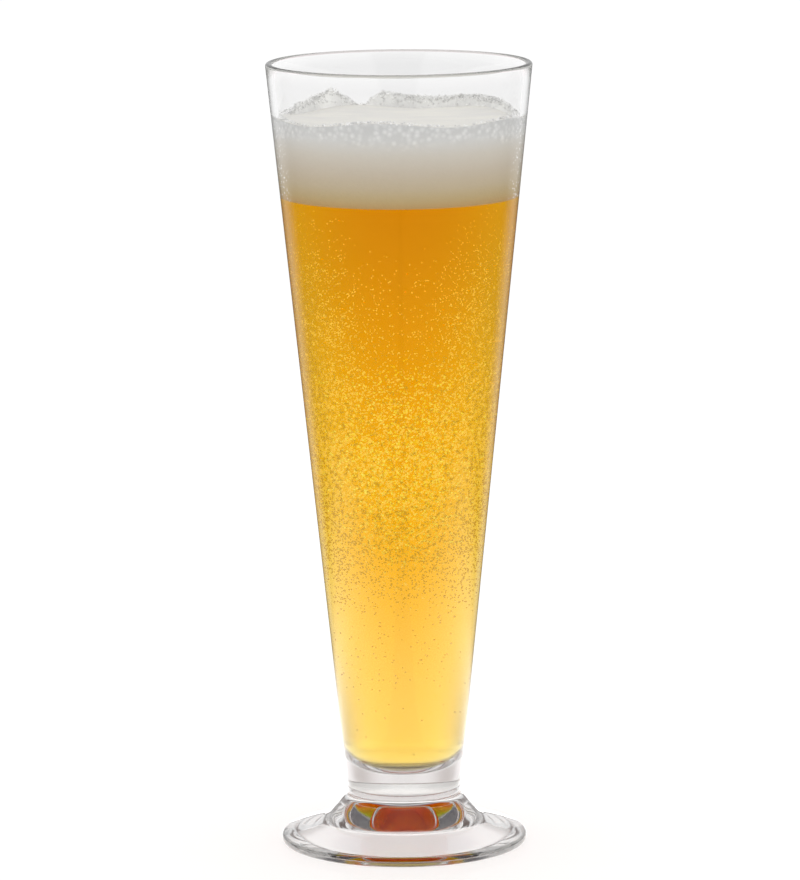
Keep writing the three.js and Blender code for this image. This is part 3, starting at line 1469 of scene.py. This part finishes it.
@dataclass
class Froth:
    """The head of foam and the lacing on the wall above it.

    Attributes:
        vessel: The glass that holds it.
        gap: Space between the foam and the wall.
        edge: Middle height of the foam's edge.
        lip: Rounding of the edge.
        tilt: How far the edge stands higher at the front, and lower at the back.
        wave: Rise and fall of the edge.
        wave_count: How often it rises and falls on its way round.
        wave_turn: Where the waves begin, in radians.
        wave_power: How close to the edge the wave stays.
        wave_depth: Depth below the edge over which the wave dies away.
        dish: How far the foam sinks in the middle.
        dish_power: How flat the dish is in the middle.
        ripple: Height of the ripples on the top.
        ripple_scale: How many ripples there are to a metre.
        ripple_power: How close to the edge the ripples go.
        lacing_thickness: How far the lacing stands off the wall.
        lacing_top: Share of that which is left at its upper outline.
        lacing_overlap: How far it reaches down behind the foam's edge.
        lacing_steps: Parts that a mound of lacing has round the wall.
        lacing_rows: Parts that it has from bottom to top.
        lacing_ripple: How ragged its outline is.
        lacing_scale: How many ripples that has to a radian, and from bottom to top.
        skin: Thickness of the lacing's own skin.
        lacing_beads: How many beads a mound has to a radian.
        lacing_sizes: Least and greatest radius of those.
        lacing_rise: How evenly they are strewn from bottom to top: below 1, most are at the top.
        lacing_stray: How far they stray from their height.
        seed: Seed of the beads' places.
        mounds: The lacing on the back wall.
        patches: The beads of froth on the wall.
    """

    vessel: Vessel
    gap: float = 0.12 * MM
    edge: float = 219.2 * MM
    lip: float = 0.6 * MM
    tilt: float = 1.2 * MM
    wave: float = 0.8 * MM
    wave_count: int = 5
    wave_turn: float = 2.27
    wave_power: int = 6
    wave_depth: float = 8 * MM
    dish: float = 1.6 * MM
    dish_power: int = 4
    ripple: float = 0.25 * MM
    ripple_scale: float = 110.0
    ripple_power: int = 8
    lacing_thickness: float = 1.1 * MM
    lacing_top: float = 0.25
    lacing_overlap: float = 0.6 * MM
    lacing_steps: int = 96
    lacing_rows: int = 10
    lacing_ripple: float = 0.5 * MM
    lacing_scale: Range = (28.0, 3.0)
    skin: float = 0.25 * MM
    lacing_beads: float = 620.0
    lacing_sizes: Range = (0.12 * MM, 0.34 * MM)
    lacing_rise: float = 0.45
    lacing_stray: float = 0.2 * MM
    seed: int = 11
    mounds: tuple[Lacing, ...] = (
        Lacing("lacing_left", "lacing_left_froth", (112, 167), (
            (0.0, 0.2 * MM), (0.09, 2.4 * MM), (0.26, 5.0 * MM),
            (0.38, 4.4 * MM), (0.7, 3.2 * MM), (1.0, 0.2 * MM),
        )),
        Lacing("lacing_right", "lacing_right_froth", (3, 107), (
            (0.0, 0.2 * MM), (0.12, 2.6 * MM), (0.3, 3.0 * MM), (0.6, 3.4 * MM),
            (0.75, 4.0 * MM), (0.91, 4.4 * MM), (0.97, 2.4 * MM), (1.0, 0.2 * MM),
        )),
    )
    patches: tuple[FrothPatch, ...] = (
        FrothPatch("froth_front", (182, 358), (-1.0 * MM, 0.5 * MM), 500, (0.16 * MM, 0.4 * MM), 0.8 * MM),
        FrothPatch("froth_back", (2, 178), (-1.0 * MM, 0.6 * MM), 500, (0.16 * MM, 0.4 * MM), 0.8 * MM),
    )

    def __post_init__(self) -> None:
        """Takes the height that the frame gives."""
        self.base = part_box("foam_head")[0].z

    def radius(self, height: float) -> float:
        """Gives the foam's radius at a height."""
        return self.vessel.inner_radius(height) - self.gap

    def edge_height(self, angle: float) -> float:
        """Gives the height of the foam's edge at an angle round the axis."""
        wave = self.wave * math.sin(self.wave_count * angle - self.wave_turn)
        return self.edge - self.tilt * math.sin(angle) + wave

    def build_head(self) -> Piece:
        """Turns the head and gives its top the uneven edge.

        Returns:
            The head of foam.
        """
        head = turn("foam_top", [
            Corner(0, self.base),
            Corner(self.radius(self.base), self.base),
            Corner(self.radius(self.edge), self.edge, self.lip),
            Corner(0, self.edge),
        ])
        still = self.edge - self.wave_depth
        for vertex in head.data.vertices:
            place = vertex.co
            if place.z < still:
                continue
            angle = math.atan2(place.y, place.x)
            share = place.xy.length / self.radius(self.edge)
            lift = (self.edge_height(angle) - self.edge) * share**self.wave_power
            lift -= self.dish * (1 - share**self.dish_power)
            ripple = noise.noise(place * self.ripple_scale) * self.ripple * (1 - share**self.ripple_power)
            place.z += (lift + ripple) * min(1.0, (place.z - still) / self.wave_depth)
            hold_in(place, self.radius(place.z))
        return head

    def build_lacing(self, mound: Lacing) -> Piece:
        """Spins a strip of wall, swells it to froth and gives it its outline.

        Args:
            mound: The mound of lacing.

        Returns:
            The new piece.
        """
        start, end = (math.radians(angle) for angle in mound.angles)
        piece = start_outline(mound.name, on_circle(1, start, 0))
        for _ in range(self.lacing_rows):
            extrude((0, 0, 1 / self.lacing_rows))
        spin_all(self.lacing_steps, start - end)
        close_edit()
        round_scale, up_scale = self.lacing_scale
        for vertex in piece.data.vertices:
            level = vertex.co.z
            angle = math.atan2(vertex.co.y, vertex.co.x)
            share = min(max((angle - start) / (end - start), 0.0), 1.0)
            foot = self.edge_height(angle) - self.lacing_overlap
            height = foot + level * (mound.height(share) + self.lacing_overlap)
            ragged = noise.noise(Vector((angle * round_scale, level * up_scale, 0)))
            height += ragged * self.lacing_ripple * level
            bulge = math.sqrt(max(0.0, 1 - level**2))
            thickness = self.lacing_thickness * (self.lacing_top + (1 - self.lacing_top) * bulge)
            vertex.co = on_circle(self.radius(height) - thickness, angle, height)
        self.thicken(piece)
        return piece

    def thicken(self, piece: Piece) -> None:
        """Gives a skin of froth its thickness, clear of the wall.

        Args:
            piece: The skin.
        """
        edit_all(piece)
        close_outwards()
        skin = piece.modifiers.new("skin", "SOLIDIFY")
        skin.thickness = self.skin
        skin.offset = 0
        bpy.ops.object.modifier_apply(modifier=skin.name)
        for vertex in piece.data.vertices:
            hold_in(vertex.co, self.radius(vertex.co.z))

    def mound_places(self, mound: Lacing, dice: random.Random) -> list[Place]:
        """Draws the places of the beads on a mound, most of them along its upper outline.

        Args:
            mound: The mound.
            dice: The source of the draws.

        Returns:
            Centre and radius of each bead.
        """
        start, end = (math.radians(angle) for angle in mound.angles)
        places: list[Place] = []
        for _ in range(round((end - start) * self.lacing_beads)):
            share = dice.random()
            angle = start + (end - start) * share
            size = dice.uniform(*self.lacing_sizes)
            level = dice.random() ** self.lacing_rise
            height = self.edge_height(angle) + mound.height(share) * level + dice.gauss(0, self.lacing_stray)
            reach = self.radius(height - size) - size - dice.random() * self.lacing_thickness
            places.append((on_circle(reach, angle, height), size))
        return places

    def patch_places(self, patch: FrothPatch, dice: random.Random) -> list[Place]:
        """Draws the places of one patch's beads.

        Args:
            patch: The patch.
            dice: The source of the draws.

        Returns:
            Centre and radius of each bead.
        """
        places: list[Place] = []
        for _ in range(patch.count):
            angle = math.radians(dice.uniform(*patch.angles))
            size = dice.uniform(*patch.sizes)
            height = self.edge_height(angle) + dice.triangular(*patch.rise, patch.rise[1]) - size
            reach = self.radius(height - size) - size - dice.random() * patch.depth
            places.append((on_circle(reach, angle, height), size))
        return places

    def build(self, bead: bpy.types.Mesh) -> list[Piece]:
        """Builds and dresses the froth.

        Args:
            bead: The mesh that each bead of froth copies.

        Returns:
            The pieces.
        """
        head = self.build_head()
        smooth(head)
        for face in head.data.polygons:
            face.material_index = 1 if face.normal.z < -LEVEL else 0
        dress(head, Slot.FOAM, PaleFoam(self.base, self.edge).material(), FoamUnderside().material())
        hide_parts("foam_head")
        pieces = [head]
        dice = random.Random(self.seed)
        froth = FrothSkin().material()
        beads = FrothBead().material()
        for mound in self.mounds:
            skin = self.build_lacing(mound)
            smooth(skin)
            dress(skin, Slot.FOAM, froth)
            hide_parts(mound.node)
            foam_beads = scatter(mound.name + "_beads", bead, self.mound_places(mound, dice))
            dress(foam_beads, Slot.FOAM, beads)
            pieces += [skin, foam_beads]
        for patch in self.patches:
            strewn = scatter(patch.name, bead, self.patch_places(patch, dice))
            dress(strewn, Slot.FOAM, beads)
            pieces.append(strewn)
        return pieces


# The studio


@dataclass(frozen=True)
class Viewpoint:
    """Where the picture is taken from.

    Attributes:
        distance: From the axis of the glass, along the table.
        height: Above the table.
        sideways: Offset to the right.
        pitch: Downward tilt in degrees.
        roll: Turn of the camera in degrees.
        focal_pixels: Focal length in pixels of the frame.
        frame_pixels: Height of the frame in pixels.
        sensor: Height of the sensor in millimetres.
        sight: How far the camera sees.
    """

    distance: float = 1.646
    height: float = 0.3995
    sideways: float = -0.00045
    pitch: float = 9.57
    roll: float = -0.42
    focal_pixels: float = 5600.0
    frame_pixels: float = 880.0
    sensor: float = 24.0
    sight: float = 50.0

    def build(self) -> None:
        """Makes the scene's camera."""
        deselect()
        bpy.ops.object.camera_add(location=(self.sideways, -self.distance, self.height))
        camera = bpy.context.active_object
        tilt = Euler((math.radians(90 - self.pitch), 0, 0)).to_matrix()
        roll = Matrix.Rotation(math.radians(self.roll), 3, "Z")
        camera.rotation_euler = (tilt @ roll).to_euler()
        lens = camera.data
        lens.sensor_fit = "VERTICAL"
        lens.sensor_height = self.sensor
        lens.lens = self.focal_pixels * self.sensor / self.frame_pixels
        lens.clip_end = self.sight
        bpy.context.scene.camera = camera


@dataclass(frozen=True)
class WhiteTable:
    """Table top that is evenly white to the eye, with softer, painted light and shade, set by place, where
    the glass shows it.

    Distances are along the table from the axis of the glass, ahead is away from the photographer, and
    a bearing is the share of a distance that lies ahead.

    Attributes:
        white: Share of the light that it throws back.
        glow: Strength of its own light, which keeps it white.
        sheen: Share of its faint mirror image.
        under_foot: Brightness under the foot, a painted shadow.
        beside_foot: Painted brightness under the foot's left and right.
        foot_ring: Distances over which the painted shadow under the foot ends.
        foot_sides: Distances to the left and right over which it changes.
        glint: Painted glint, an extra brightness close behind the foot.
        glint_start: Distances ahead over which the glint begins.
        glint_end: Distances over which it ends.
        glint_sides: Distances to the left and right over which it ends.
        near: Painted brightness through the glass close behind it.
        distant: Painted brightness through the glass far behind it.
        depth: Distances ahead over which the one turns into the other.
        dim: Most painted shade to either side, behind the glass.
        dim_sides: Shares of the way to the left or right over which the painted shade begins.
        dim_start: Distances over which it begins.
        dim_end: Distances over which it ends.
        dim_bearing: Bearings over which it begins.
        shade: Colour of that painted shade.
        warmth: Painted warm tint of what is seen through the glass a little way behind it.
        warm_start: Distances over which the tint begins.
        warm_end: Distances over which it ends.
        patch: Painted brightness of the table near the glass, where it is mirrored.
        patch_end: Distances over which that ends.
        patch_scale: Share of each direction in those distances.
        flank: Painted brightness of the table to both sides ahead, where it is mirrored.
        flank_start: Bearings over which that begins.
        flank_end: Bearings over which it falls straight ahead.
        flank_rest: Share of it that is left there.
    """

    white: Colour = plain_grey(0.86)
    glow: float = 0.2
    sheen: float = 0.07
    under_foot: float = 0.85
    beside_foot: float = 1.04
    foot_ring: Range = (33 * MM, 60 * MM)
    foot_sides: Range = (10 * MM, 26 * MM)
    glint: float = 0.35
    glint_start: Range = (22 * MM, 45 * MM)
    glint_end: Range = (80 * MM, 140 * MM)
    glint_sides: Range = (8 * MM, 30 * MM)
    near: float = 1.03
    distant: float = 0.75
    depth: Range = (0.1, 3.2)
    dim: float = 0.6
    dim_sides: Range = (0.2, 0.6)
    dim_start: Range = (90 * MM, 130 * MM)
    dim_end: Range = (0.12, 0.6)
    dim_bearing: Range = (0.45, 0.75)
    shade: Colour = (0.3, 0.25, 0.21)
    warmth: Colour = (1.0, 0.945, 0.95)
    warm_start: Range = (0.12, 0.25)
    warm_end: Range = (0.6, 1.2)
    patch: float = 1.6
    patch_end: Range = (0.1, 0.28)
    patch_scale: tuple[float, float, float] = (0.62, 1.0, 1.0)
    flank: float = 0.5
    flank_start: Range = (0.45, 0.8)
    flank_end: Range = (0.8, 0.98)
    flank_rest: float = 0.2

    def seen_through(self, graph: Graph, split: Node) -> Socket:
        """Gives the table's colour where it is seen through the glass.

        Args:
            graph: The material's nodes.
            split: The node with the coordinates of the place on the table.

        Returns:
            The colour's socket.
        """
        ahead = split.outputs["Y"]
        aside = graph.math("ABSOLUTE", split.outputs["X"])
        distance = graph.length_aside(split)
        bearing = graph.math("DIVIDE", ahead, distance)
        # Painted shadow under the foot and painted glint behind it, in the table as seen through the glass.
        under = graph.math(
            "MAXIMUM",
            graph.span(distance, self.foot_ring, (self.under_foot, 1.0)),
            graph.span(aside, self.foot_sides, (self.under_foot, self.beside_foot)),
        )
        glint = graph.product(
            graph.span(ahead, self.glint_start, (0.0, self.glint)),
            graph.span(distance, self.glint_end, FADE),
            graph.span(aside, self.glint_sides, FADE),
        )
        level = graph.product(
            graph.span(ahead, self.depth, (self.near, self.distant)),
            graph.math("ADD", under, glint),
        )
        # Painted shade to either side behind the glass, and a painted warm tint a little way behind it.
        dark = graph.product(
            graph.span(graph.sideways(split), self.dim_sides, (0.0, self.dim)),
            graph.span(distance, self.dim_end, FADE),
            graph.span(distance, self.dim_start),
            graph.span(bearing, self.dim_bearing),
        )
        warm = graph.product(
            graph.span(distance, self.warm_start),
            graph.span(distance, self.warm_end, FADE),
        )
        tint = graph.mix(warm, WHITE, self.warmth)
        return graph.mix(1.0, tint, graph.mix(dark, level, self.shade), "MULTIPLY")

    def mirrored(self, graph: Graph, place: Socket, split: Node) -> Socket:
        """Gives the table's brightness where it is mirrored in the glass.

        Args:
            graph: The material's nodes.
            place: The place on the table.
            split: The node with its coordinates.

        Returns:
            The brightness's socket.
        """
        # Painted light: the table is brighter near the glass and to both sides ahead where the glass mirrors
        # it.
        scaled = graph.node("Mapping", Vector=place, Scale=self.patch_scale).outputs["Vector"]
        reach = graph.node("VectorMath", operation="LENGTH", Vector=scaled).outputs["Value"]
        bearing = graph.math("DIVIDE", split.outputs["Y"], graph.length_aside(split))
        flank = graph.product(
            graph.span(bearing, self.flank_start, (0.0, self.flank)),
            graph.span(bearing, self.flank_end, (1.0, self.flank_rest)),
        )
        return graph.math("MAXIMUM", graph.span(reach, self.patch_end, (self.patch, 0.0)), flank)

    def material(self) -> bpy.types.Material:
        """Builds the material.

        Returns:
            The new material.
        """
        material, graph, shader = new_material("white_table")
        place, split = graph.place()
        rays = graph.node("LightPath").outputs
        level = graph.mix(rays["Is Glossy Ray"], WHITE, self.mirrored(graph, place, split))
        level = graph.mix(rays["Is Transmission Ray"], level, self.seen_through(graph, split))
        graph.fill(
            shader,
            Base_Color=graph.mix(1.0, level, self.white, "MULTIPLY"),
            Emission_Color=level,
            Emission_Strength=self.glow,
            Roughness=0.9,
            Specular_IOR_Level=0.0,
        )
        gloss = graph.node("BsdfGlossy", Roughness=0.1)
        both = graph.node("MixShader", Fac=graph.product(rays["Is Camera Ray"], self.sheen))
        graph.feed(both.inputs[1], shader.outputs["BSDF"])
        graph.feed(both.inputs[2], gloss.outputs["BSDF"])
        graph.output(Surface=both.outputs["Shader"])
        return material


@dataclass(frozen=True)
class Studio:
    """White table, soft light and camera.

    A direction's height is 0 along the table and 1 straight up.

    Attributes:
        viewpoint: Where the picture is taken from.
        table: Finish of the table top.
        table_size: Width of the table top.
        table_gap: Space that keeps it from lying in one plane with the foot.
        through: Light of the room through the glass, by the direction's height.
        mirror_ahead: Shares of a direction that lie ahead, over which the mirrored room gets light.
        mirror_light: Light before and after those.
        mirror_up: Heights of a direction over which the mirrored lamp begins.
        mirror_lamp: Its light.
        lamp_place: Where the lamp hangs.
        lamp_aim: What it points at.
        lamp_size: Width of its square face.
        lamp_watts: Its power.
        bounces: How often light may be bent and mirrored on its way.
    """

    viewpoint: Viewpoint = Viewpoint()
    table: WhiteTable = WhiteTable()
    table_size: float = 16.0
    table_gap: float = 0.05 * MM
    through: Stops = (
        (0.0, plain_grey(0.76)),
        (0.19, plain_grey(0.76)),
        (0.23, (0.1, 0.06, 0.05)),
        (0.33, (0.1, 0.06, 0.05)),
        (0.42, plain_grey(0.8)),
        (0.62, plain_grey(0.8)),
        (0.7, (0.3, 0.24, 0.34)),
        (0.88, (0.3, 0.24, 0.32)),
        (0.95, WHITE),
    )
    mirror_ahead: Range = (-0.2, 0.7)
    mirror_light: Range = (0.01, 0.72)
    mirror_up: Range = (0.8, 0.92)
    mirror_lamp: float = 0.6
    lamp_place: tuple[float, float, float] = (0.0, 0.25, 1.1)
    lamp_aim: tuple[float, float, float] = (0.0, 0.0, 0.2)
    lamp_size: float = 0.7
    lamp_watts: float = 1.0
    bounces: int = 160

    def build_floor(self) -> None:
        """Lays the white table top."""
        deselect()
        bpy.ops.mesh.primitive_plane_add(size=self.table_size, location=(0, 0, -self.table_gap))
        floor = bpy.context.active_object
        floor.name = "floor"
        floor.data.materials.append(self.table.material())

    def build_world(self) -> None:
        """Sets the light that comes from all round, apart for each way it reaches the glass."""
        world = bpy.data.worlds.new("studio")
        bpy.context.scene.world = world
        world.use_nodes = True
        graph = Graph(world.node_tree)
        direction = graph.node("SeparateXYZ", Vector=graph.node("TexCoord").outputs["Generated"]).outputs
        mirrored = graph.math(
            "MAXIMUM",
            graph.span(direction["Y"], self.mirror_ahead, self.mirror_light),
            graph.span(direction["Z"], self.mirror_up, (0.0, self.mirror_lamp)),
        )
        rays = graph.node("LightPath").outputs
        light = graph.mix(rays["Is Glossy Ray"], WHITE, mirrored)
        light = graph.mix(rays["Is Transmission Ray"], light, graph.ramp(direction["Z"], self.through))
        graph.fill(world.node_tree.nodes["Background"], Color=light, Strength=1.0)

    def build_lamp(self) -> None:
        """Hangs one soft lamp, which isn't seen in or through the glass."""
        deselect()
        bpy.ops.object.light_add(type="AREA", location=self.lamp_place)
        lamp = bpy.context.active_object
        lamp.name = "top_light"
        way = Vector(self.lamp_aim) - Vector(self.lamp_place)
        lamp.rotation_euler = way.to_track_quat("-Z", "Y").to_euler()
        lamp.data.size = self.lamp_size
        lamp.data.energy = self.lamp_watts
        lamp.visible_glossy = False
        lamp.visible_transmission = False

    def build(self) -> None:
        """Sets up floor, light, camera and colour."""
        self.build_floor()
        self.build_world()
        self.build_lamp()
        self.viewpoint.build()
        scene = bpy.context.scene
        scene.view_settings.view_transform = "Standard"
        scene.cycles.max_bounces = self.bounces
        scene.cycles.transmission_bounces = self.bounces
        scene.cycles.glossy_bounces = self.bounces
        scene.cycles.blur_glossy = 0.0


def main() -> None:
    """Builds the glass, what is in it and the studio, and reports each piece."""
    logging.basicConfig(level=logging.INFO, format="%(name)s: %(message)s")
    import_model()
    vessel = Vessel()
    bead = model_bead()
    for piece in (*vessel.build(), *Drink(vessel).build(bead), *Froth(vessel).build(bead)):
        LOG.info("%s: %d faces", piece.name, len(piece.data.polygons))
    Studio().build()


if __name__ == "__main__":
    main()
